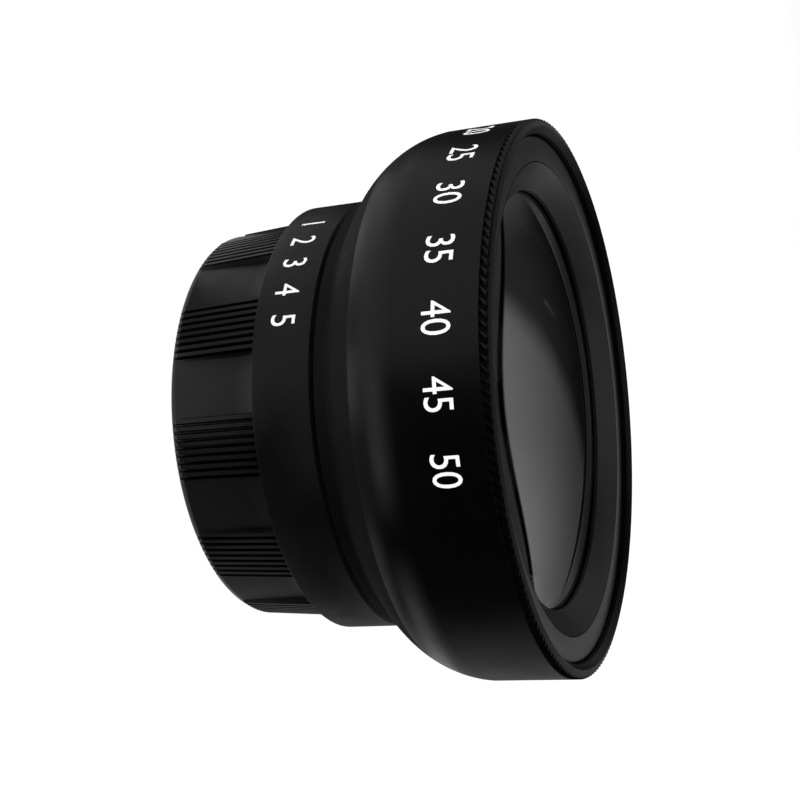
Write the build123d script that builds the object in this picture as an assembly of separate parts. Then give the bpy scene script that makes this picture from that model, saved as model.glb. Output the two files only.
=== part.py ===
"""Wide-angle converter lens for a phone, with a screw-on close-up section and a rear cap.

Millimetres. The optical axis is +Z, the lens stands on its rear cap and the origin is the
centre of the cap's rear face. Every turned piece is an outline in (radius, height) spun about Z.
"""
from build123d import *
import os
from math import asin, atan2, cos, degrees, hypot, radians, sin, sqrt

# Lengths along the axis, from the rear face to the front rim
cap_length = 9.3
band_length = 6.05
collar_length = 1.05
shoulder_length = 8.45
cylinder_length = 7.65
knurl_length = 0.95
face_gap = 0.05

# Fine screw threads, drawn at their crest with no helix
thread_radius = 18.42
thread_pitch = 0.75
thread_clearance = 0.08
thread_relief_depth = 0.45
thread_relief_length = 0.75
cap_thread_turns = 6
section_thread_turns = 4
end_clearance = 0.35

# Rear cap
cap_wall = 0.85
cap_floor = 1.6
cap_cavity_step = 1.12
cap_rear_round = 0.5
cap_flare = 0.7
cap_flare_length = 2.6
cap_foot_width = 4.0
cap_foot_recess = 0.4
rib_groups = 11
grooves_per_group = 8
groove_pitch_angle = 2.045
groove_top_width = 0.34
groove_floor_width = 0.14
groove_rear_depth = 0.3
rib_rear_rise = 0.17
first_group_angle = 13.7

# Barrel walls and edges
band_wall = 3.0
macro_snout_wall = 1.72
wide_snout_wall = 2.72
shoulder_width = 5.5
rim_wall = 1.4
edge_chamfer = 0.3
band_front_chamfer = 0.35
band_rear_chamfer = 0.12
neck_fillet = 0.57
shoulder_crease_angle = 4.4
knurl_teeth = 180
knurl_depth = 0.28
knurl_notch_width = 0.66
rim_outer_chamfer_width = 0.85
rim_outer_chamfer_height = 0.3
rim_inner_chamfer_height = 0.55

# Close-up doublet: a biconvex crown cemented to a meniscus flint
doublet_seat_width = 1.0
doublet_flange = 1.65
flint_thickness = 1.5
crown_front_curve = 60.0
cement_curve = 55.0
flint_rear_curve = 180.0
cement_gap = 0.01

# Rear negative element of the wide-angle section
rear_lens_edge = 3.25
rear_lens_flat = 1.2
rear_lens_front_curve = 120.0
rear_lens_rear_curve = 70.0
rear_lens_seat_width = 1.0
rear_lens_flange = 1.0

# Front meniscus
front_lens_thickness = 2.0
front_lens_front_curve = 90.0
front_lens_rear_curve = 21.0
front_lens_dish = 16.0
front_seat_width = 2.9
front_seat_depth = 1.7
baffle_step = 2.6

# Clearance round and over every lens
glass_clearance = 0.05

# Retaining rings with two spanner slots
ring_thickness = 0.95
ring_overlap = 1.2
ring_thread_step = 1.2
spanner_slot_width = 1.2
spanner_slot_depth = 0.5

# Front rings
trim_ring_width = 2.52
trim_ring_outer_thickness = 1.6
trim_ring_dish = 0.25
trim_ring_recess = 0.55
trim_ring_gap = 0.08
lock_ring_width = 2.8
lock_ring_nose = 1.75
lock_ring_wall = 0.2
lock_ring_drop = 0.2
lock_ring_step = 0.45
ring_thread_clearance = 0.05

# Radii of the cap, the band and the barrel, each a wall or a step from the thread
socket_radius = thread_radius + thread_clearance
relief_radius = thread_radius - thread_relief_depth
groove_floor_radius = socket_radius + cap_wall
cap_field_radius = groove_floor_radius + groove_rear_depth
cap_mouth_radius = cap_field_radius + cap_flare
rib_rear_radius = cap_field_radius + rib_rear_rise
cap_cavity_radius = thread_radius - cap_cavity_step
band_radius = socket_radius + band_wall
barrel_radius = band_radius + shoulder_width
rim_crest_radius = barrel_radius - rim_outer_chamfer_width

# Radii of the rear glass, inside the threaded snouts
doublet_radius = relief_radius - macro_snout_wall - ring_thread_step - ring_thread_clearance
doublet_aperture = doublet_radius - doublet_seat_width
rear_lens_radius = relief_radius - wide_snout_wall - ring_thread_step - ring_thread_clearance
rear_lens_dish = rear_lens_radius - rear_lens_flat
rear_lens_aperture = rear_lens_radius - rear_lens_seat_width
baffle_rear_radius = rear_lens_aperture + baffle_step

# Radii of the front rings and the front glass, inside the barrel
trim_bore = barrel_radius - rim_wall
trim_ring_radius = trim_bore - ring_thread_clearance
trim_ring_inner_radius = trim_ring_radius - trim_ring_width
lock_ring_radius = trim_ring_inner_radius - trim_ring_gap
lock_ring_bore = lock_ring_radius - lock_ring_width
front_lens_radius = lock_ring_radius - lock_ring_step
front_seat_aperture = front_lens_radius - front_seat_width

# Heights that follow from the lengths
band_rear = cap_length + face_gap
band_front = band_rear + band_length
collar_rear = band_front + face_gap
collar_front = collar_rear + collar_length
cylinder_rear = collar_front + shoulder_length
knurl_rear = cylinder_rear + cylinder_length
rim_front = knurl_rear + knurl_length

cap_thread_length = cap_thread_turns * thread_pitch
section_thread_length = section_thread_turns * thread_pitch
macro_snout_tip = cap_length - cap_thread_length
wide_snout_tip = band_front - section_thread_length
socket_floor = wide_snout_tip - end_clearance


def sag(curve, radius):
    """Depth of a spherical surface of that radius of curvature at that radius off the axis."""
    return curve - sqrt(curve**2 - radius**2)


def turned(*edges):
    """Solid of revolution about Z of a closed outline drawn in (radius, height)."""
    return revolve(Plane.XZ * make_face(list(edges)), Axis.Z, 360)


def lens_arc(vertex, curve, radius, bulge):
    """Edge from the axis out to a lens's rim. bulge is 1 for a surface that rises to the axis."""
    middle = (radius / 2, vertex - bulge * sag(curve, radius / 2))
    return ThreePointArc((0, vertex), middle, rim_of(curve, radius, vertex, bulge))


def rim_of(curve, radius, vertex, bulge):
    """Point of a lens surface at its rim."""
    return (radius, vertex - bulge * sag(curve, radius))


def slotted(ring, rear, outer):
    """A retaining ring with two spanner slots across its rear face."""
    slot = Box(2 * outer + 1, spanner_slot_width, 2 * spanner_slot_depth)
    return ring - Pos(0, 0, rear) * slot


def rear_cap():
    """Moulded screw cap: smooth fields that flare to the mouth, between groups of fine ribs."""
    rise = cap_mouth_radius - cap_field_radius
    flare_curve = (cap_flare_length**2 + rise**2) / (2 * rise)
    flare_rear = cap_length - cap_flare_length
    half_turn = asin(cap_flare_length / flare_curve) / 2
    flare_middle = (
        cap_field_radius + flare_curve * (1 - cos(half_turn)),
        flare_rear + flare_curve * sin(half_turn),
    )
    foot_inner = cap_field_radius - cap_rear_round - cap_foot_width
    field = turned(
        Polyline((0, cap_length), (0, cap_foot_recess), (foot_inner, cap_foot_recess), (foot_inner, 0),
                 (cap_field_radius - cap_rear_round, 0)),
        RadiusArc((cap_field_radius - cap_rear_round, 0), (cap_field_radius, cap_rear_round), -cap_rear_round),
        Line((cap_field_radius, cap_rear_round), (cap_field_radius, flare_rear)),
        ThreePointArc((cap_field_radius, flare_rear), flare_middle, (cap_mouth_radius, cap_length)),
        Line((cap_mouth_radius, cap_length), (0, cap_length)),
    )
    rib_cone = turned(Polyline(
        (cap_cavity_radius, cap_rear_round), (cap_field_radius, cap_rear_round),
        (rib_rear_radius, cap_rear_round + rib_rear_radius - cap_field_radius),
        (cap_mouth_radius, cap_length), (cap_cavity_radius, cap_length), close=True))
    half_group = grooves_per_group * groove_pitch_angle / 2
    reach = 1.1 * cap_mouth_radius / cos(radians(half_group))
    inner = cap_cavity_radius + 0.5
    sector = Polyline(
        (inner * cos(radians(half_group)), -inner * sin(radians(half_group))),
        (reach * cos(radians(half_group)), -reach * sin(radians(half_group))),
        (reach * cos(radians(half_group)), reach * sin(radians(half_group))),
        (inner * cos(radians(half_group)), inner * sin(radians(half_group))), close=True)
    sector = extrude(make_face(sector), cap_length)
    groove = Polyline(
        (groove_floor_radius, -groove_floor_width / 2), (cap_mouth_radius, -groove_top_width / 2),
        (reach, -groove_top_width / 2), (reach, groove_top_width / 2),
        (cap_mouth_radius, groove_top_width / 2), (groove_floor_radius, groove_floor_width / 2), close=True)
    groove = Pos(0, 0, -1) * extrude(make_face(groove), cap_length + 2)
    sectors = []
    grooves = []
    for group in range(rib_groups):
        centre = first_group_angle + group * 360 / rib_groups
        sectors.append(Rot(0, 0, centre) * sector)
        for number in range(grooves_per_group):
            turn = (number - (grooves_per_group - 1) / 2) * groove_pitch_angle
            grooves.append(Rot(0, 0, centre + turn) * groove)
    ribs = rib_cone & (Part() + sectors)
    thread_floor = macro_snout_tip - end_clearance
    hollow = turned(Polyline(
        (0, cap_floor), (cap_cavity_radius, cap_floor), (cap_cavity_radius, thread_floor),
        (socket_radius, thread_floor), (socket_radius, cap_length - edge_chamfer),
        (socket_radius + edge_chamfer, cap_length), (socket_radius + edge_chamfer, cap_length + 1),
        (0, cap_length + 1), close=True))
    return field + ribs - grooves - hollow


def macro_ring_heights():
    """Heights of the rear and front faces of the close-up section's retaining ring."""
    rear = macro_snout_tip + face_gap
    return rear, rear + ring_thickness


def doublet_heights():
    """Heights of the doublet's front, cemented and rear vertices, between its seat and its ring."""
    seat = socket_floor - doublet_flange
    front = seat - glass_clearance + sag(crown_front_curve, doublet_aperture)
    ring_bore = doublet_radius - ring_overlap
    rear = macro_ring_heights()[1] + glass_clearance - sag(flint_rear_curve, ring_bore)
    return front, rear + flint_thickness, rear


def macro_barrel():
    """Turned close-up barrel: marked band, threaded snout at the rear and threaded socket in front."""
    seat = socket_floor - doublet_flange
    lens_bore = doublet_radius + glass_clearance
    ring_bore = doublet_radius + ring_thread_step + ring_thread_clearance
    ring_floor = macro_ring_heights()[1] + glass_clearance
    return turned(Polyline(
        (ring_bore, macro_snout_tip), (thread_radius - edge_chamfer, macro_snout_tip),
        (thread_radius, macro_snout_tip + edge_chamfer),
        (thread_radius, band_rear - thread_relief_length - thread_relief_depth),
        (relief_radius, band_rear - thread_relief_length), (relief_radius, band_rear),
        (band_radius - band_rear_chamfer, band_rear), (band_radius, band_rear + band_rear_chamfer),
        (band_radius, band_front - band_front_chamfer), (band_radius - band_front_chamfer, band_front),
        (socket_radius + edge_chamfer, band_front), (socket_radius, band_front - edge_chamfer),
        (socket_radius, socket_floor), (doublet_aperture, socket_floor), (doublet_aperture, seat),
        (lens_bore, seat), (lens_bore, ring_floor), (ring_bore, ring_floor), close=True))


def macro_crown_lens():
    """Biconvex front element of the cemented doublet."""
    front, cemented, _ = doublet_heights()
    front_rim = rim_of(crown_front_curve, doublet_radius, front, 1)
    rear_rim = rim_of(cement_curve, doublet_radius, cemented, -1)
    return turned(
        lens_arc(front, crown_front_curve, doublet_radius, 1),
        Line(front_rim, rear_rim),
        lens_arc(cemented, cement_curve, doublet_radius, -1),
        Line((0, cemented), (0, front)),
    )


def macro_flint_lens():
    """Meniscus rear element of the cemented doublet."""
    _, cemented, rear = doublet_heights()
    top = cemented - cement_gap
    top_rim = rim_of(cement_curve, doublet_radius, top, -1)
    rear_rim = rim_of(flint_rear_curve, doublet_radius, rear, -1)
    return turned(
        lens_arc(top, cement_curve, doublet_radius, -1),
        Line(top_rim, rear_rim),
        lens_arc(rear, flint_rear_curve, doublet_radius, -1),
        Line((0, rear), (0, top)),
    )


def macro_retaining_ring():
    """Threaded ring that holds the doublet from behind."""
    rear, front = macro_ring_heights()
    outer = doublet_radius + ring_thread_step
    bore = doublet_radius - ring_overlap
    ring = turned(Polyline((bore, rear), (outer, rear), (outer, front), (bore, front), close=True))
    return slotted(ring, rear, outer)


def rear_lens_heights():
    """Heights of the rear and front edge faces of the wide-angle section's rear element."""
    rear = wide_snout_tip + face_gap + ring_thickness + glass_clearance
    return rear, rear + rear_lens_edge


def front_lens_heights():
    """Heights of the front meniscus: front vertex, rear vertex and the flat face that it sits on."""
    seat = lock_ring_heights()[0] - glass_clearance
    front = seat + sag(front_lens_front_curve, lock_ring_bore)
    rear = front - front_lens_thickness
    return front, rear, rear - sag(front_lens_rear_curve, front_lens_dish)


def lock_ring_heights():
    """Heights of the lock ring's rear and front faces."""
    front = rim_front - trim_ring_recess - trim_ring_dish - lock_ring_drop
    return front - lock_ring_nose - lock_ring_wall, front


def shoulder_edges():
    """The neck's hollow fillet and the rounded shoulder that runs tangent from it to the cylinder."""
    crease = radians(shoulder_crease_angle)
    across = barrel_radius - band_radius - neck_fillet
    curve = (across**2 + shoulder_length**2 - neck_fillet**2) / (
        2 * (across * cos(crease) - shoulder_length * sin(crease) + neck_fillet))
    centre = (barrel_radius - curve * cos(crease), cylinder_rear + curve * sin(crease))
    neck_centre = (band_radius + neck_fillet, collar_front)
    away = (centre[0] - neck_centre[0], centre[1] - neck_centre[1])
    reach = hypot(*away)
    join_angle = degrees(atan2(away[1], away[0]))
    join = (neck_centre[0] + neck_fillet * away[0] / reach, neck_centre[1] + neck_fillet * away[1] / reach)
    fillet = CenterArc(neck_centre, neck_fillet, 180, join_angle - 180)
    shoulder = CenterArc(centre, curve, join_angle - 180, 180 - join_angle - shoulder_crease_angle)
    return fillet, shoulder


def wide_barrel():
    """Turned wide-angle barrel: threaded snout, collar, flared shoulder, cylinder and knurled rim."""
    rear_lens_rear, rear_lens_front = rear_lens_heights()
    rear_seat = rear_lens_front + glass_clearance
    rear_bore = rear_lens_radius + glass_clearance
    ring_bore = rear_lens_radius + ring_thread_step + ring_thread_clearance
    front_seat = front_lens_heights()[2] - glass_clearance
    front_bore = front_lens_radius + glass_clearance
    lock_bore = lock_ring_radius + ring_thread_clearance
    lock_floor = lock_ring_heights()[0] - end_clearance
    trim_floor = rim_front - trim_ring_recess - trim_ring_outer_thickness - glass_clearance
    baffle_rear = rear_seat + rear_lens_flange
    baffle_front = front_seat - front_seat_depth
    fillet, shoulder = shoulder_edges()
    rear_part = Polyline(
        (band_radius, collar_front), (band_radius, collar_rear + band_rear_chamfer),
        (band_radius - band_rear_chamfer, collar_rear), (relief_radius, collar_rear),
        (relief_radius, collar_rear - thread_relief_length),
        (thread_radius, collar_rear - thread_relief_length - thread_relief_depth),
        (thread_radius, wide_snout_tip + edge_chamfer), (thread_radius - edge_chamfer, wide_snout_tip),
        (ring_bore, wide_snout_tip), (ring_bore, rear_lens_rear), (rear_bore, rear_lens_rear),
        (rear_bore, rear_seat), (rear_lens_aperture, rear_seat),
        (rear_lens_aperture, baffle_rear), (baffle_rear_radius, baffle_rear),
        (front_seat_aperture, baffle_front), (front_seat_aperture, front_seat),
        (front_bore, front_seat), (front_bore, lock_floor), (lock_bore, lock_floor),
        (lock_bore, trim_floor), (trim_bore, trim_floor),
        (trim_bore, rim_front - rim_inner_chamfer_height), (rim_crest_radius, rim_front),
        (barrel_radius, rim_front - rim_outer_chamfer_height), (barrel_radius, cylinder_rear),
    )
    body = turned(fillet, shoulder, rear_part)
    notch = Polyline(
        (barrel_radius - knurl_depth, 0), (barrel_radius + knurl_depth, -knurl_notch_width),
        (barrel_radius + knurl_depth, knurl_notch_width), close=True)
    notch = Pos(0, 0, knurl_rear) * extrude(make_face(notch), knurl_length + 1)
    notches = [Rot(0, 0, tooth * 360 / knurl_teeth) * notch for tooth in range(knurl_teeth)]
    return body - notches


def wide_rear_lens():
    """Biconcave rear element of the wide-angle section, with a flat edge on both sides."""
    rear, front = rear_lens_heights()
    front_vertex = front - sag(rear_lens_front_curve, rear_lens_dish)
    rear_vertex = rear + sag(rear_lens_rear_curve, rear_lens_dish)
    return turned(
        lens_arc(front_vertex, rear_lens_front_curve, rear_lens_dish, -1),
        Polyline((rear_lens_dish, front), (rear_lens_radius, front), (rear_lens_radius, rear),
                 (rear_lens_dish, rear)),
        lens_arc(rear_vertex, rear_lens_rear_curve, rear_lens_dish, 1),
        Line((0, rear_vertex), (0, front_vertex)),
    )


def wide_rear_retaining_ring():
    """Threaded ring that holds the wide-angle section's rear element."""
    rear = wide_snout_tip + face_gap
    front = rear + ring_thickness
    outer = rear_lens_radius + ring_thread_step
    bore = rear_lens_radius - ring_overlap
    ring = turned(Polyline((bore, rear), (outer, rear), (outer, front), (bore, front), close=True))
    return slotted(ring, rear, outer)


def front_lens():
    """Large negative meniscus: gently rounded in front and deeply hollow behind."""
    front, rear, flat = front_lens_heights()
    front_rim = rim_of(front_lens_front_curve, front_lens_radius, front, 1)
    return turned(
        lens_arc(front, front_lens_front_curve, front_lens_radius, 1),
        Polyline(front_rim, (front_lens_radius, flat), (front_lens_dish, flat)),
        lens_arc(rear, front_lens_rear_curve, front_lens_dish, 1),
        Line((0, rear), (0, front)),
    )


def front_lock_ring():
    """Threaded ring with a rounded nose that holds the front lens."""
    rear, front = lock_ring_heights()
    nose_centre = (lock_ring_bore + lock_ring_nose, front - lock_ring_nose)
    return turned(
        CenterArc(nose_centre, lock_ring_nose, 90, 90),
        Polyline((lock_ring_bore, front - lock_ring_nose), (lock_ring_bore, rear), (lock_ring_radius, rear),
                 (lock_ring_radius, front), (lock_ring_bore + lock_ring_nose, front)),
    )


def front_trim_ring():
    """Slightly dished flat ring that covers the step between the rim and the lock ring."""
    front = rim_front - trim_ring_recess
    rear = front - trim_ring_outer_thickness
    return turned(Polyline(
        (trim_ring_inner_radius, rear), (trim_ring_radius, rear), (trim_ring_radius, front),
        (trim_ring_inner_radius, front - trim_ring_dish), close=True))


pieces = [
    rear_cap,
    macro_barrel,
    macro_crown_lens,
    macro_flint_lens,
    macro_retaining_ring,
    wide_barrel,
    wide_rear_lens,
    wide_rear_retaining_ring,
    front_lens,
    front_lock_ring,
    front_trim_ring,
]

os.makedirs("parts", exist_ok=True)
for piece in pieces:
    export_step(piece(), f"parts/{piece.__name__}.step")
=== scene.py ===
from math import asin, atan2, ceil, cos, degrees, hypot, pi, radians, sin, sqrt

import bpy
from mathutils import Matrix, Vector


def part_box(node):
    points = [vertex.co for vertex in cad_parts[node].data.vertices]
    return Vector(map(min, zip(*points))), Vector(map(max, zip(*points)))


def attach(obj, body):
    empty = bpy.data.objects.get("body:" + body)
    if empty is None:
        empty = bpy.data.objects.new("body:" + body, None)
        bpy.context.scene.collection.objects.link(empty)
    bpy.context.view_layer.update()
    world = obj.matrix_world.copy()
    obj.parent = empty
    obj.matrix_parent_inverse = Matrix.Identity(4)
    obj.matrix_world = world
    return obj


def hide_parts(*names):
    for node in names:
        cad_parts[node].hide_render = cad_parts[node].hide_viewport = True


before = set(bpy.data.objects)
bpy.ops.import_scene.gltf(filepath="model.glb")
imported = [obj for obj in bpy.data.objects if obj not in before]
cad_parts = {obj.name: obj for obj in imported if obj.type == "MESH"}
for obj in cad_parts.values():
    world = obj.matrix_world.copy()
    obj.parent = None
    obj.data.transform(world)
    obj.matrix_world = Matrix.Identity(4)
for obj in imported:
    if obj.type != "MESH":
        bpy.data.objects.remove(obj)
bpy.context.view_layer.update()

# Outlines are in millimetres, as (radius, height). The scene is in metres.
MM = 0.001


def cad_size(node):
    """Rear height, front height and outside radius of a turned node, in mm."""
    low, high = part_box(node)
    return low.z / MM, high.z / MM, high.x / MM


_, cap_front, cap_mouth_radius = cad_size("rear_cap")
snout_tip, band_front, band_radius = cad_size("macro_barrel")
wide_snout_tip, rim_front, barrel_radius = cad_size("wide_barrel")
trim_rear, trim_front, trim_radius = cad_size("front_trim_ring")
lock_rear, lock_front, lock_radius = cad_size("front_lock_ring")
front_glass_flat, front_glass_top, front_glass_radius = cad_size("front_lens")
rear_glass_rear, rear_glass_front, rear_glass_radius = cad_size("wide_rear_lens")
wide_ring_rear, wide_ring_front, wide_ring_radius = cad_size("wide_rear_retaining_ring")
macro_ring_rear, macro_ring_front, macro_ring_radius = cad_size("macro_retaining_ring")
crown_rear, crown_front, doublet_radius = cad_size("macro_crown_lens")
flint_rear, _, _ = cad_size("macro_flint_lens")

# Fits
face_gap = 0.05
glass_gap = 0.05
end_clearance = 0.35

# Screw threads
thread_radius = 18.42
thread_clearance = 0.08
thread_relief_depth = 0.45
thread_relief_length = 0.75
socket_radius = thread_radius + thread_clearance
edge_chamfer = 0.3

# Cap
cap_floor = 1.6
cap_cavity_radius = 17.3
cap_field_radius = 19.65
cap_rear_round = 0.5
cap_flare_length = 2.6
cap_foot_width = 4.0
cap_foot_recess = 0.4
rib_rear_radius = 19.82
groove_floor_radius = 19.35
rib_groups = 11
grooves_per_group = 8
groove_pitches_round = 176
first_group_angle = 13.7
columns_per_groove = 6

# Close-up barrel
band_rear = cap_front + face_gap
band_rear_chamfer = 0.12
band_front_chamfer = 0.35
doublet_aperture = doublet_radius - 1.0
doublet_flange = 1.65
macro_socket_floor = wide_snout_tip - end_clearance

# Wide-angle barrel
collar_rear = band_front + face_gap
collar_front = collar_rear + 1.05
neck_fillet = 0.57
shoulder_crease_angle = 4.4
cylinder_rear = collar_front + 8.45
knurl_rear = cylinder_rear + 7.65
knurl_teeth = 180
knurl_depth = 0.28
knurl_runout = 0.06
knurl_slant = 0.5
columns_per_tooth = 2
rim_crest_radius = barrel_radius - 0.85
rim_outer_chamfer_height = 0.3
rim_inner_chamfer_height = 0.55
rear_glass_aperture = rear_glass_radius - 1.0
rear_glass_flange = 1.0
baffle_rear_radius = 15.6
front_seat_aperture = front_glass_radius - 2.9
front_seat_depth = 1.7

# Front rings
trim_inner_radius = 23.03
trim_face = trim_front - 0.42
trim_dish = 0.04
trim_round = 0.35
lock_bore = 20.45
lock_cone_depth = 1.6
spanner_slot_width = 1.2
spanner_slot_depth = 0.5
ring_bore_overlap = 1.2

# Print
barrel_figures = ["10", "15", "20", "25", "30", "35", "40", "45", "50"]
barrel_figure_height = 2.6
barrel_print_height = cylinder_rear + 4.0
barrel_print_angles = (97, -11)
band_figures = ["1", "2", "3", "4", "5"]
band_figure_height = 2.4
band_print_height = band_rear + 2.9
band_print_angles = (60, 25)
print_thickness = 0.02
print_root = 0.04
print_facet = 0.4
condensed = 0.84
# In the text's own units, before it is scaled and wrapped
flat_thickness = 0.02
print_merge = 0.0005

# Curves of the glass
crown_front_curve = 60.0
cement_curve = 55.0
cement_gap = 0.01
flint_rear_curve = 180.0
rear_glass_front_curve = 120.0
rear_glass_rear_curve = 70.0
rear_glass_dish = 12.8
front_glass_thickness = 2.0
front_glass_front_curve = 90.0
front_glass_rear_curve = 21.0
front_glass_dish = 16.0

# Edges are broken by this much, and a turned piece has this many facets round
edge_ease = 0.07
facets_round = 240
smooth_angle = radians(40)
seam_merge = 0.0005


# Outlines

def arc(centre, radius, start, end, parts):
    """Points on an arc in (radius, height), from one angle to the other in degrees."""
    points = []
    for part in range(parts + 1):
        angle = radians(start + (end - start) * part / parts)
        points.append((centre[0] + radius * cos(angle), centre[1] + radius * sin(angle)))
    return points


def eased(outline, size=edge_ease):
    """The same line with every sharp corner between its ends rounded off."""
    line = [outline[0]]
    for before, corner, after in zip(outline, outline[1:], outline[2:]):
        back = Vector(before) - Vector(corner)
        ahead = Vector(after) - Vector(corner)
        turn = pi - back.angle(ahead)
        if turn < radians(20):
            line.append(corner)
            continue
        reach = min(size, 0.4 * back.length, 0.4 * ahead.length)
        start = Vector(corner) + back.normalized() * reach
        end = Vector(corner) + ahead.normalized() * reach
        for share in (0, 0.33, 0.67, 1):
            mid = start.lerp(Vector(corner), share).lerp(Vector(corner).lerp(end, share), share)
            line.append(tuple(mid))
    return line + [outline[-1]]


def sag(curve, radius):
    """Depth of a spherical surface of that curve at that radius."""
    return curve - sqrt(curve**2 - radius**2)


def dome(vertex, curve, radius, bulge, parts=24):
    """A lens surface from the axis out to its rim. bulge is 1 where it rises to the axis."""
    points = []
    for part in range(parts + 1):
        reach = radius * part / parts
        points.append((reach, vertex - bulge * sag(curve, reach)))
    return points


# Modelling

def wire(name, outline):
    """One vertex pulled along a closed outline by extrusion."""
    bpy.ops.object.select_all(action="DESELECT")
    bpy.ops.mesh.primitive_plane_add(size=MM)
    piece = bpy.context.object
    piece.name = name
    bpy.ops.object.mode_set(mode="EDIT")
    bpy.ops.mesh.select_all(action="SELECT")
    bpy.ops.mesh.merge(type="CENTER")
    here = Vector((0, 0, 0))
    start = Vector((outline[0][0], 0, outline[0][1])) * MM
    bpy.ops.transform.translate(value=start - here)
    here = start
    for radius, height in outline[1:] + outline[:1]:
        there = Vector((radius, 0, height)) * MM
        bpy.ops.mesh.extrude_vertices_move(TRANSFORM_OT_translate={"value": there - here})
        here = there
    return piece


def close_seams():
    """Merges doubled vertices and points every face outwards, in edit mode."""
    bpy.ops.mesh.select_all(action="SELECT")
    bpy.ops.mesh.remove_doubles(threshold=seam_merge * MM)
    bpy.ops.mesh.dissolve_degenerate(threshold=seam_merge * MM)
    bpy.ops.mesh.normals_make_consistent(inside=False)


def smooth(piece):
    """Smooth shading, but for true edges."""
    bpy.ops.object.select_all(action="DESELECT")
    piece.select_set(True)
    bpy.context.view_layer.objects.active = piece
    bpy.ops.object.shade_smooth_by_angle(angle=smooth_angle)


def turned(name, outline, facets=facets_round):
    """A closed outline spun about the axis."""
    piece = wire(name, outline)
    bpy.ops.mesh.select_all(action="SELECT")
    bpy.ops.mesh.spin(steps=facets, angle=2 * pi, center=(0, 0, 0), axis=(0, 0, 1))
    close_seams()
    bpy.ops.object.mode_set(mode="OBJECT")
    smooth(piece)
    return piece


def column_of(place, columns):
    """Number of the facet edge that a point lies on, counted from +X."""
    return round(atan2(place.y, place.x) / (2 * pi) * columns) % columns


# Pieces

def shoulder_line():
    """The neck's hollow fillet, then the rounded shoulder up to the cylinder."""
    crease = radians(shoulder_crease_angle)
    across = barrel_radius - band_radius - neck_fillet
    length = cylinder_rear - collar_front
    curve = (across**2 + length**2 - neck_fillet**2) / (
        2 * (across * cos(crease) - length * sin(crease) + neck_fillet))
    centre = (barrel_radius - curve * cos(crease), cylinder_rear + curve * sin(crease))
    neck = (band_radius + neck_fillet, collar_front)
    join = degrees(atan2(centre[1] - neck[1], centre[0] - neck[0]))
    fillet = arc(neck, neck_fillet, 180, join, 5)
    shoulder = arc(centre, curve, join - 180, -shoulder_crease_angle, 36)
    return fillet[:-1] + shoulder


def wide_barrel():
    """Snout, collar, flared shoulder, cylinder and knurled rim."""
    rear_seat = rear_glass_front + glass_gap
    rear_bore = rear_glass_radius + glass_gap
    front_seat = front_glass_flat - glass_gap
    front_bore = front_glass_radius + glass_gap
    lock_floor = lock_rear - end_clearance
    trim_floor = trim_rear - glass_gap
    baffle_rear = rear_seat + rear_glass_flange
    relief_radius = thread_radius - thread_relief_depth
    collar = eased([
        (relief_radius, collar_rear), (band_radius - band_rear_chamfer, collar_rear),
        (band_radius, collar_rear + band_rear_chamfer), (band_radius, collar_front)], 0.04)
    rim = eased([
        (barrel_radius, knurl_rear + knurl_runout),
        (barrel_radius, rim_front - rim_outer_chamfer_height),
        (barrel_radius - knurl_depth - 0.02, rim_front - rim_outer_chamfer_height * 0.65),
        (rim_crest_radius, rim_front),
        (trim_radius + face_gap, rim_front - rim_inner_chamfer_height),
        (trim_radius + face_gap, trim_floor)])
    inside = [
        (lock_radius + face_gap, trim_floor), (lock_radius + face_gap, lock_floor),
        (front_bore, lock_floor), (front_bore, front_seat), (front_seat_aperture, front_seat),
        (front_seat_aperture, front_seat - front_seat_depth), (baffle_rear_radius, baffle_rear),
        (rear_glass_aperture, baffle_rear), (rear_glass_aperture, rear_seat),
        (rear_bore, rear_seat), (rear_bore, rear_glass_rear),
        (wide_ring_radius + face_gap, rear_glass_rear), (wide_ring_radius + face_gap, wide_snout_tip)]
    snout = [
        (thread_radius - edge_chamfer, wide_snout_tip), (thread_radius, wide_snout_tip + edge_chamfer),
        (thread_radius, collar_rear - thread_relief_length - thread_relief_depth),
        (relief_radius, collar_rear - thread_relief_length)]
    outline = collar[:-1] + shoulder_line() + [(barrel_radius, knurl_rear)] + rim + inside + snout
    columns = knurl_teeth * columns_per_tooth
    piece = turned("wide_barrel_body", outline, columns)
    root_radius = barrel_radius - knurl_depth

    for vertex in piece.data.vertices:
        height = vertex.co.z / MM
        radius = hypot(vertex.co.x, vertex.co.y) / MM
        if radius < root_radius or height < knurl_rear + knurl_runout / 2:
            continue
        column = column_of(vertex.co, columns)
        if column % columns_per_tooth == 0:
            radius = root_radius
        along = (height - knurl_rear) / (rim_front - rim_outer_chamfer_height - knurl_rear)
        angle = 2 * pi * (column + knurl_slant * columns_per_tooth * min(along, 1)) / columns
        vertex.co.x = radius * MM * cos(angle)
        vertex.co.y = radius * MM * sin(angle)
    smooth(piece)
    return piece


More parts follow.
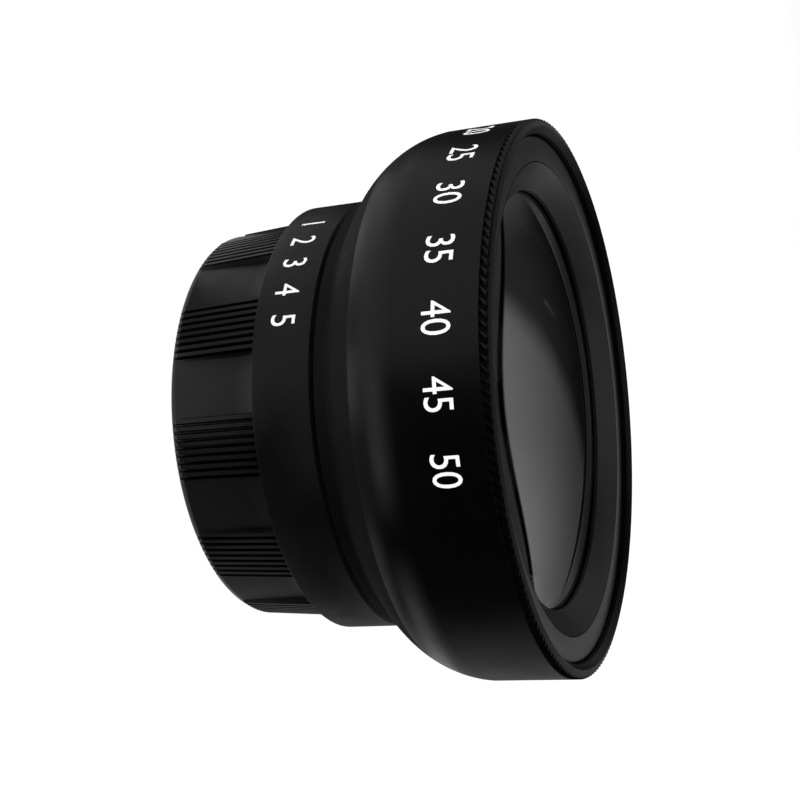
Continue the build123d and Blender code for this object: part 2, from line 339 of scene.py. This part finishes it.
def macro_barrel():
    """Band, with a snout behind it and a socket in front, both turned plain at the thread's radius."""
    seat = macro_socket_floor - doublet_flange
    relief_radius = thread_radius - thread_relief_depth
    lens_bore = doublet_radius + glass_gap
    ring_floor = macro_ring_front + glass_gap
    ring_bore = macro_ring_radius + face_gap
    outside = eased([
        (relief_radius, band_rear), (band_radius - band_rear_chamfer, band_rear),
        (band_radius, band_rear + band_rear_chamfer), (band_radius, band_front - band_front_chamfer),
        (band_radius - band_front_chamfer, band_front), (socket_radius + edge_chamfer, band_front),
        (socket_radius, band_front - edge_chamfer)], 0.05)
    inside = [
        (socket_radius, macro_socket_floor), (doublet_aperture, macro_socket_floor),
        (doublet_aperture, seat), (lens_bore, seat), (lens_bore, ring_floor), (ring_bore, ring_floor),
        (ring_bore, snout_tip)]
    snout = [
        (thread_radius - edge_chamfer, snout_tip), (thread_radius, snout_tip + edge_chamfer),
        (thread_radius, band_rear - thread_relief_length - thread_relief_depth),
        (relief_radius, band_rear - thread_relief_length)]
    return turned("macro_barrel_body", outside + inside + snout)


def rear_cap():
    """Screw cap: smooth fields that flare to the mouth, between eleven groups of fine ribs."""
    flare = cap_mouth_radius - cap_field_radius
    flare_curve = (cap_flare_length**2 + flare**2) / (2 * flare)
    flare_rear = cap_front - cap_flare_length
    foot_outer = cap_field_radius - cap_rear_round
    foot_inner = foot_outer - cap_foot_width
    thread_floor = snout_tip - end_clearance
    foot = [(0, cap_foot_recess), (foot_inner, cap_foot_recess), (foot_inner, 0)]
    corner = arc((foot_outer, cap_rear_round), cap_rear_round, -90, 0, 6)
    rib_start = (cap_field_radius, cap_rear_round + rib_rear_radius - cap_field_radius)
    straight = [(cap_field_radius, cap_rear_round + (flare_rear - cap_rear_round) * part / 3)
                for part in (1, 2)]
    sweep = degrees(asin(cap_flare_length / flare_curve))
    mouth = arc((cap_field_radius + flare_curve, flare_rear), flare_curve, 180, 180 - sweep, 10)
    inside = [
        (socket_radius + edge_chamfer, cap_front), (socket_radius, cap_front - edge_chamfer),
        (socket_radius, thread_floor), (cap_cavity_radius, thread_floor), (cap_cavity_radius, cap_floor),
        (0, cap_floor)]
    columns = groove_pitches_round * columns_per_groove
    piece = turned("rear_cap_body", foot + corner + [rib_start] + straight + mouth + inside, columns)
    sector = columns // rib_groups
    group = grooves_per_group * columns_per_groove
    turn = first_group_angle - grooves_per_group * 360 / groove_pitches_round / 2

    def rib_radius(height):
        share = (height - rib_start[1]) / (cap_front - rib_start[1])
        return rib_rear_radius + (cap_mouth_radius - rib_rear_radius) * max(share, 0)

    for vertex in piece.data.vertices:
        place = vertex.co
        radius = hypot(place.x, place.y) / MM
        height = place.z / MM
        if radius < foot_outer - 0.01 or height < 0.001:
            continue
        column = column_of(place, columns) % sector
        if column > group:
            continue
        step = column % columns_per_groove
        if step in (4, 5) and column < group:
            wanted = min(radius, groove_floor_radius)
        elif height > cap_rear_round + 0.01:
            wanted = rib_radius(height)
        else:
            continue
        place.x *= wanted / radius
        place.y *= wanted / radius
    bpy.ops.transform.rotate(value=-radians(turn), orient_axis="Z", center_override=(0, 0, 0))
    bpy.ops.object.transform_apply(location=True, rotation=True, scale=True)
    smooth(piece)
    return piece


def front_trim_ring():
    """Flat ring inside the rim."""
    inner = eased([
        (trim_inner_radius, trim_rear), (trim_inner_radius, trim_face - trim_dish),
        (trim_radius - trim_round, trim_face)], 0.04)
    outer = arc((trim_radius - trim_round, trim_face - trim_round), trim_round, 90, 0, 6)
    return turned("front_trim_ring_body", inner[:-1] + outer + [(trim_radius, trim_rear)])


def front_lock_ring():
    """Ring with a sloping face that holds the front glass."""
    face = eased([
        (lock_bore, lock_rear), (lock_bore, lock_front - lock_cone_depth), (lock_radius, lock_front),
        (lock_radius, lock_rear)], 0.06)
    return turned("front_lock_ring_body", face)


def cut(piece, cutter):
    """Takes the second object's shape out of the first and deletes the second."""
    step = piece.modifiers.new("cut", "BOOLEAN")
    step.operation = "DIFFERENCE"
    step.solver = "EXACT"
    step.object = cutter
    bpy.ops.object.select_all(action="DESELECT")
    piece.select_set(True)
    bpy.context.view_layer.objects.active = piece
    bpy.ops.object.modifier_apply(modifier=step.name)
    bpy.data.objects.remove(cutter)


def retaining_ring(name, rear, front, outer, bore):
    """Flat ring, plain where its thread is, with two spanner slots across its rear face."""
    piece = turned(name, eased([
        (bore, front), (bore, rear), (outer, rear), (outer, front)], 0.05))
    bpy.ops.object.select_all(action="DESELECT")
    bpy.ops.mesh.primitive_cube_add(size=1, location=(0, 0, rear * MM))
    cutter = bpy.context.object
    bpy.ops.transform.resize(
        value=((2 * outer + 1) * MM, spanner_slot_width * MM, 2 * spanner_slot_depth * MM))
    cut(piece, cutter)
    smooth(piece)
    return piece


def front_lens():
    """Large meniscus, gently rounded in front and deeply hollow behind."""
    rear_vertex = front_glass_top - front_glass_thickness
    front = dome(front_glass_top, front_glass_front_curve, front_glass_radius, 1, 32)
    back = dome(rear_vertex, front_glass_rear_curve, front_glass_dish, 1, 32)
    edge = eased([front[-1], (front_glass_radius, front_glass_flat), back[-1]], 0.15)
    return turned("front_lens_glass", front + edge[1:-1] + back[::-1])


def wide_rear_lens():
    """Biconcave rear element with a flat edge on both sides."""
    front_vertex = rear_glass_front - sag(rear_glass_front_curve, rear_glass_dish)
    rear_vertex = rear_glass_rear + sag(rear_glass_rear_curve, rear_glass_dish)
    front = dome(front_vertex, rear_glass_front_curve, rear_glass_dish, -1)
    back = dome(rear_vertex, rear_glass_rear_curve, rear_glass_dish, 1)
    edge = [(rear_glass_radius, rear_glass_front), (rear_glass_radius, rear_glass_rear)]
    return turned("wide_rear_lens_glass", front + edge + back[::-1])


def macro_crown_lens():
    """Biconvex front element of the doublet."""
    front = dome(crown_front, crown_front_curve, doublet_radius, 1)
    back = dome(crown_rear, cement_curve, doublet_radius, -1)
    return turned("macro_crown_lens_glass", front + back[::-1])


def macro_flint_lens():
    """Meniscus rear element of the doublet."""
    top = crown_rear - cement_gap
    front = dome(top, cement_curve, doublet_radius, -1)
    back = dome(flint_rear, flint_rear_curve, doublet_radius, -1)
    return turned("macro_flint_lens_glass", front + back[::-1])


# Print

def figure_on(label, radius, height, size, angle):
    """A flat figure wrapped on a turned surface, upright towards the front of the lens."""
    bpy.ops.object.select_all(action="DESELECT")
    bpy.ops.object.text_add()
    text = bpy.context.object.data
    text.body = label
    text.extrude = flat_thickness
    text.resolution_u = 4
    bpy.ops.object.convert(target="MESH")
    figure = bpy.context.object
    across = [vertex.co.x for vertex in figure.data.vertices]
    along = [vertex.co.y for vertex in figure.data.vertices]
    left, right = min(across), max(across)
    foot, head = min(along), max(along)
    scale = size / (head - foot)
    bpy.ops.object.mode_set(mode="EDIT")
    bpy.ops.mesh.select_all(action="SELECT")
    bpy.ops.mesh.remove_doubles(threshold=print_merge)
    bpy.ops.mesh.dissolve_degenerate(threshold=print_merge)
    cuts = ceil((right - left) * scale * condensed / print_facet)
    for cut_number in range(1, cuts):
        bpy.ops.mesh.select_all(action="SELECT")
        bpy.ops.mesh.bisect(
            plane_co=(left + (right - left) * cut_number / cuts, 0, 0), plane_no=(1, 0, 0))
    bpy.ops.mesh.select_all(action="SELECT")
    bpy.ops.mesh.remove_doubles(threshold=print_merge)
    bpy.ops.mesh.dissolve_degenerate(threshold=print_merge)
    bpy.ops.mesh.normals_make_consistent(inside=False)
    bpy.ops.object.mode_set(mode="OBJECT")
    for vertex in figure.data.vertices:
        x, y, z = vertex.co
        turn = radians(angle) - (x - (left + right) / 2) * scale * condensed / radius
        reach = radius + print_thickness if z > 0 else radius - print_root
        up = height + (y - (foot + head) / 2) * scale
        vertex.co = Vector((-sin(turn) * reach, -cos(turn) * reach, up)) * MM
    return figure


def printed_figures(name, labels, radius, height, size, angles):
    """A row of figures, evenly spaced from one angle to the other."""
    figures = []
    for place, label in enumerate(labels):
        angle = angles[0] + (angles[1] - angles[0]) * place / (len(labels) - 1)
        figures.append(figure_on(label, radius, height, size, angle))
    bpy.ops.object.select_all(action="DESELECT")
    for figure in figures:
        figure.select_set(True)
    bpy.context.view_layer.objects.active = figures[0]
    bpy.ops.object.join()
    figures[0].name = name
    smooth(figures[0])
    return figures[0]


# Finishes

class Value:
    """A number that varies over a surface. Arithmetic on it adds Math nodes."""

    def __init__(self, finish, output):
        self.finish = finish
        self.output = output

    def maths(self, operation, first, second=0.0):
        return self.finish.node("ShaderNodeMath", {"operation": operation}, {0: first, 1: second})

    def __add__(self, other):
        return self.maths("ADD", self, other)

    __radd__ = __add__

    def __sub__(self, other):
        return self.maths("SUBTRACT", self, other)

    def __rsub__(self, other):
        return self.maths("SUBTRACT", other, self)

    def __mul__(self, other):
        return self.maths("MULTIPLY", self, other)

    __rmul__ = __mul__

    def __pow__(self, other):
        return self.maths("POWER", self, other)

    def ramp(self, start, end, low=0.0, high=1.0):
        """Goes smoothly from low to high while this goes from start to end."""
        return self.finish.node(
            "ShaderNodeMapRange", {"interpolation_type": "SMOOTHSTEP"},
            {"Value": self, "From Min": start, "From Max": end, "To Min": low, "To Max": high})


class Finish:
    """The nodes of a material or of the world."""

    def __init__(self, owner):
        owner.use_nodes = True
        self.owner = owner
        self.tree = owner.node_tree

    def node(self, kind, settings=None, sockets=None, output=0):
        """Adds a node: its settings come first, then the values or links of its sockets."""
        node = self.tree.nodes.new(kind)
        for name, value in (settings or {}).items():
            setattr(node, name, value)
        for name, value in (sockets or {}).items():
            self.feed(node.inputs[name], value)
        return Value(self, node.outputs[output])

    def feed(self, socket, value):
        if isinstance(value, Value):
            self.tree.links.new(value.output, socket)
        else:
            socket.default_value = value

    def surface(self, sockets):
        """Sets or links the sockets of the material's own shader."""
        shader = self.tree.nodes["Principled BSDF"]
        for name, value in sockets.items():
            self.feed(shader.inputs[name], value)

    def place(self):
        """The point on the piece, in metres from the origin."""
        return self.node("ShaderNodeTexCoord", output="Object")

    def parts(self, vector):
        """The x, y and z of a vector."""
        return [
            self.node("ShaderNodeSeparateXYZ", sockets={0: vector}, output=axis) for axis in range(3)]

    def coordinates(self):
        """The point's x, y and z."""
        return self.parts(self.place())

    def noise(self, size_mm, detail=2.0, place=None, roughness=0.5):
        """Random variation from 0 to 1, in patches of about that size."""
        return self.node(
            "ShaderNodeTexNoise", {"noise_dimensions": "3D"},
            {"Vector": place or self.place(), "Scale": 1 / (size_mm * MM), "Detail": detail,
             "Roughness": roughness})

    def shades(self, factor, dark, light):
        """A colour between two others."""
        return self.node(
            "ShaderNodeMix", {"data_type": "RGBA"}, {0: factor, 6: (*dark, 1), 7: (*light, 1)}, output=2)

    def relief(self, height, depth_mm):
        """A normal that follows a height from 0 to 1 which stands for that depth."""
        return self.node(
            "ShaderNodeBump",
            sockets={"Height": height, "Distance": depth_mm * MM, "Strength": 1.0})

    def rings(self, width_mm):
        """Fine lines left by turning: they vary with the radius and the height only."""
        x, y, z = self.coordinates()
        radius = (x * x + y * y) ** 0.5
        place = self.node("ShaderNodeCombineXYZ", sockets={0: radius, 2: z})
        return self.noise(width_mm, 3, place)


def new_finish(name):
    return Finish(bpy.data.materials.new(name))


def moulded_plastic():
    """Black moulded plastic with a low sheen and a fine, soft grain."""
    finish = new_finish("cap_plastic")
    grain = finish.noise(0.22, 2)
    patches = finish.noise(3.5, 3)
    finish.surface({
        "Base Color": finish.shades(patches, (0.0016, 0.0016, 0.0018), (0.0032, 0.0032, 0.0034)),
        "Roughness": patches.ramp(0.3, 0.7, 0.36, 0.44) + grain * 0.05,
        "Specular IOR Level": 0.32,
        "Normal": finish.relief(grain, 0.012),
    })
    return finish.owner


def satin_anodised():
    """Black anodising over a finely blasted surface."""
    finish = new_finish("band_black")
    grain = finish.noise(0.16, 3, roughness=0.7)
    patches = finish.noise(2.5, 2)
    finish.surface({
        "Base Color": finish.shades(patches, (0.0010, 0.0010, 0.0015), (0.0022, 0.0022, 0.0030)),
        "Roughness": patches.ramp(0.3, 0.7, 0.38, 0.46),
        "Specular IOR Level": 0.30,
        "Normal": finish.relief(grain, 0.014),
    })
    return finish.owner


def smooth_anodised():
    """Smooth black anodising with faint turning lines, dull black inside the barrel."""
    finish = new_finish("barrel_black")
    x, y, z = finish.coordinates()
    radius = (x * x + y * y) ** 0.5
    inside = radius.ramp(25.6 * MM, 25.4 * MM) * z.ramp(10 * MM, 11 * MM)
    lines = finish.rings(0.09)
    grain = finish.noise(0.2, 2)
    patches = finish.noise(4, 2)
    finish.surface({
        "Base Color": finish.shades(patches, (0.0006, 0.0006, 0.0008), (0.0012, 0.0012, 0.0015)),
        "Roughness": patches.ramp(0.3, 0.7, 0.29, 0.34) + inside * 0.4,
        "Specular IOR Level": 0.28,
        "Normal": finish.relief(lines + grain * 0.6, 0.004),
    })
    return finish.owner


def turned_anodised():
    """Black anodised rings with fine concentric turning marks."""
    finish = new_finish("ring_black")
    lines = finish.rings(0.07)
    patches = finish.noise(3, 2)
    finish.surface({
        "Base Color": finish.shades(patches, (0.0025, 0.0025, 0.0025), (0.0050, 0.0049, 0.0048)),
        "Roughness": lines.ramp(0.3, 0.7, 0.30, 0.38),
        "Specular IOR Level": 0.60,
        "Normal": finish.relief(lines, 0.004),
    })
    return finish.owner


def lens_glass():
    """Polished glass with a trace of dust, tinted nearly black as painted shade for the dark inside of
    the lens, the tint varying faintly in patches.
    """
    finish = new_finish("coated_glass")
    dust = finish.noise(0.5, 4, roughness=0.7)
    film = finish.noise(9, 1)
    finish.surface({
        # Painted shade: the near-black tint darkens everything seen through the glass inside the lens.
        "Base Color": finish.shades(film, (0.009, 0.011, 0.010), (0.014, 0.015, 0.014)),
        "Roughness": dust.ramp(0.6, 0.85, 0.01, 0.07) + film * 0.02,
        "IOR": 1.5,
        "Specular IOR Level": 0.5,
        "Transmission Weight": 1.0,
    })
    return finish.owner


def printed_white():
    """White print, a little uneven in thickness."""
    finish = new_finish("white_print")
    ink = finish.noise(0.3, 3)
    finish.surface({
        "Base Color": finish.shades(ink, (0.80, 0.80, 0.77), (0.90, 0.90, 0.87)),
        "Roughness": ink * 0.2 + 0.45,
        "Normal": finish.relief(ink, 0.006),
    })
    return finish.owner


def white_sweep():
    """Studio floor that looks white to the camera, in reflections and through glass."""
    finish = new_finish("floor_white")
    path = finish.node("ShaderNodeLightPath", output="Is Camera Ray")
    glossy = finish.node("ShaderNodeLightPath", output="Is Glossy Ray")
    clear = finish.node("ShaderNodeLightPath", output="Is Transmission Ray")
    paper = finish.noise(30, 2)
    bright = finish.node("ShaderNodeBsdfPrincipled", sockets={
        "Base Color": finish.shades(paper, (0.11,) * 3, (0.13,) * 3),
        "Roughness": 1.0,
        "Specular IOR Level": 0.0,
        "Emission Color": (1, 1, 1, 1),
        "Emission Strength": 0.93,
    })
    plain = finish.node("ShaderNodeBsdfPrincipled", sockets={
        "Base Color": finish.shades(paper, (0.55,) * 3, (0.6,) * 3),
        "Roughness": 1.0,
        "Specular IOR Level": 0.0,
    })
    factor = finish.node("ShaderNodeClamp", sockets={"Value": path + glossy + clear})
    mixed = finish.node("ShaderNodeMixShader", sockets={0: factor, 1: plain, 2: bright})
    output = finish.tree.nodes["Material Output"]
    finish.tree.links.new(mixed.output, output.inputs["Surface"])
    return finish.owner


def shaded_card():
    """What the black pieces mirror: light beside and behind the lens, dark in front of it."""
    finish = new_finish("card_grey")
    x, y, z = finish.coordinates()
    azimuth = x.maths("ARCTAN2", x * -1, y * -1) * (180 / pi)
    radius = (x * x + y * y) ** 0.5
    left = azimuth.ramp(7, 21) * azimuth.ramp(45, 85, 1.0, 0.75) * azimuth.ramp(88, 122, 1.0, 0.05)
    right = azimuth.ramp(-74, -102) * azimuth.ramp(-135, -165, 1.0, 0.3)
    foot = azimuth.ramp(-6, 5, 0.17, 0.85) * azimuth.ramp(18, 27, 1.0, 0.35)
    foot = foot + azimuth.ramp(43, 52, 0.0, 0.4) + azimuth.ramp(-36, -46, 0.0, 0.16)
    foot = foot * azimuth.ramp(75, 105, 1.0, 0.03)
    close = radius.ramp(36 * MM, 33 * MM)
    raised = z.ramp(4 * MM, 5 * MM)
    shelf = azimuth.ramp(-34, -14) * azimuth.ramp(8, 24, 1.1, 0.68) * azimuth.ramp(66, 100, 1.0, 0.1)
    shelf = shelf + azimuth.ramp(-38, -62, 0.0, 0.6)
    table = close * foot + (1 - close) * (left * 0.62 + right * 0.24)
    rear = azimuth.ramp(138, 168) + azimuth.ramp(-138, -168)
    glow = raised * shelf + (1 - raised) * table + rear * 0.4
    finish.surface({
        "Base Color": (0, 0, 0, 1),
        "Specular IOR Level": 0.0,
        "Emission Color": glow,
        "Emission Strength": 1.0,
    })
    return finish.owner


def wear(piece, material):
    piece.data.materials.clear()
    piece.data.materials.append(material)


# Assembly

cap_plastic = moulded_plastic()
band_black = satin_anodised()
barrel_black = smooth_anodised()
ring_black = turned_anodised()
glass = lens_glass()

pieces = [
    (rear_cap, "rear_cap", "cap", cap_plastic, "cap_plastic"),
    (macro_barrel, "macro_barrel", "macro_section", band_black, "band_black"),
    (wide_barrel, "wide_barrel", "wide_section", barrel_black, "barrel_black"),
    (front_trim_ring, "front_trim_ring", "wide_section", ring_black, "ring_black"),
    (front_lock_ring, "front_lock_ring", "wide_section", ring_black, "ring_black"),
    (front_lens, "front_lens", "wide_glass", glass, "coated_glass"),
    (wide_rear_lens, "wide_rear_lens", "wide_glass", glass, "coated_glass"),
    (macro_crown_lens, "macro_crown_lens", "macro_glass", glass, "coated_glass"),
    (macro_flint_lens, "macro_flint_lens", "macro_glass", glass, "coated_glass"),
]
for make, node, body, material, slot in pieces:
    piece = make()
    wear(piece, material)
    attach(piece, body)
    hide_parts(node)

rings = [
    ("macro_retaining_ring", "macro_section", macro_ring_rear, macro_ring_front, macro_ring_radius,
     doublet_radius),
    ("wide_rear_retaining_ring", "wide_section", wide_ring_rear, wide_ring_front, wide_ring_radius,
     rear_glass_radius),
]
for node, body, rear, front, outer, lens_radius in rings:
    piece = retaining_ring(node + "_body", rear, front, outer, lens_radius - ring_bore_overlap)
    wear(piece, ring_black)
    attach(piece, body)
    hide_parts(node)

printed = [
    ("barrel_figures", barrel_figures, "wide_section", barrel_radius, barrel_print_height,
     barrel_figure_height, barrel_print_angles),
    ("band_figures", band_figures, "macro_section", band_radius, band_print_height,
     band_figure_height, band_print_angles),
]
white_print = printed_white()
for name, labels, body, radius, height, size, angles in printed:
    piece = printed_figures(name, labels, radius, height, size, angles)
    wear(piece, white_print)
    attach(piece, body)

# Camera
camera_distance = 0.13804
camera_height = 0.06732
camera_yaw = 0.359
camera_pitch = 0.008
camera_roll = 0.083
camera_lens = 65.23

camera_data = bpy.data.cameras.new("camera")
camera_data.lens = camera_lens
camera_data.clip_start = 0.01
camera = bpy.data.objects.new("camera", camera_data)
bpy.context.scene.collection.objects.link(camera)
level = Matrix(((0, -1, 0), (0, 0, -1), (1, 0, 0)))
turn = Matrix.Rotation(camera_yaw, 3, "Y") @ Matrix.Rotation(camera_pitch, 3, "X")
turn = level @ turn @ Matrix.Rotation(-camera_roll, 3, "Z")
camera.matrix_world = Matrix.Translation((0, -camera_distance, camera_height)) @ turn.to_4x4()
bpy.context.scene.camera = camera

# Light
lamp_target = (0, 0, 0.018)
card_facets = 64
floor_size = 4


def studio_world():
    """White to the camera. In reflections dim, with a soft glow behind the lens and one overhead."""
    world = bpy.data.worlds.new("world")
    bpy.context.scene.world = world
    finish = Finish(world)
    ray = finish.node("ShaderNodeLightPath", output="Is Camera Ray")
    direction = finish.node("ShaderNodeTexCoord", output="Generated")
    x, y, z = finish.parts(direction)
    edge = (x + z * 0.48).ramp(0.065, 0.145)
    low = finish.node("ShaderNodeClamp", sockets={"Value": z, "Min": 0.0, "Max": 0.62})
    lit = (low * low * low * 3.8 + 0.055) * x.ramp(0.03, 0.3, 1.0, 2.2)
    dim = low * low * 0.5 + x.ramp(-0.2, -0.34, 0.0, 0.3)
    top = z + x * x * 3.2
    window = (edge * lit + dim) * top.ramp(0.60, 0.612, 1.0, 0.0) + top.ramp(0.625, 0.635, 0.0, 0.17)
    behind = y.ramp(0.2, 0.6)
    overhead = z.ramp(0.85, 0.97, 0.0, 0.35)
    glow = window * behind + overhead + 0.006
    strength = glow * (1 - ray) + ray
    background = finish.tree.nodes["Background"]
    background.inputs["Color"].default_value = (1, 1, 1, 1)
    finish.feed(background.inputs["Strength"], strength)


def softbox(name, place, size, power):
    """A square lamp that faces the lens. Shiny pieces don't mirror it."""
    lamp = bpy.data.lights.new(name, "AREA")
    lamp.shape = "SQUARE"
    lamp.size = size
    lamp.energy = power
    holder = bpy.data.objects.new(name, lamp)
    holder.visible_glossy = False
    bpy.context.scene.collection.objects.link(holder)
    aim = (Vector(lamp_target) - Vector(place)).to_track_quat("-Z", "Y")
    holder.matrix_world = Matrix.Translation(place) @ aim.to_matrix().to_4x4()


def reflection_card(name, inner_radius, outer_radius, height, material):
    """A flat ring of card round the lens. It shows only as what shiny pieces mirror."""
    bpy.ops.object.select_all(action="DESELECT")
    bpy.ops.mesh.primitive_plane_add(size=MM)
    card = bpy.context.object
    card.name = name
    bpy.ops.object.mode_set(mode="EDIT")
    bpy.ops.mesh.select_all(action="SELECT")
    bpy.ops.mesh.merge(type="CENTER")
    bpy.ops.transform.translate(value=(inner_radius, 0, height))
    bpy.ops.mesh.extrude_vertices_move(
        TRANSFORM_OT_translate={"value": (outer_radius - inner_radius, 0, 0)})
    bpy.ops.mesh.select_all(action="SELECT")
    bpy.ops.mesh.spin(steps=card_facets, angle=2 * pi, center=(0, 0, 0), axis=(0, 0, 1))
    close_seams()
    bpy.ops.object.mode_set(mode="OBJECT")
    wear(card, material)
    card.visible_camera = False
    card.visible_diffuse = False
    card.visible_shadow = False
    card.visible_transmission = False


studio_world()
softbox("key_lamp", (-0.42, -0.30, 0.45), 0.45, 5.5)
softbox("fill_lamp", (0.45, -0.25, 0.40), 0.45, 4.5)
softbox("rim_lamp", (-0.36, 0.48, 0.38), 0.50, 1.4)
card_grey = shaded_card()
reflection_card("floor_card", 0.0197, 1.95, 0.0006, card_grey)
reflection_card("shoulder_card", 0.034, 0.043, 0.009, card_grey)
bpy.context.scene.view_settings.view_transform = "Standard"

bpy.ops.object.select_all(action="DESELECT")
bpy.ops.mesh.primitive_plane_add(size=floor_size)
floor = bpy.context.object
floor.name = "floor"
wear(floor, white_sweep())
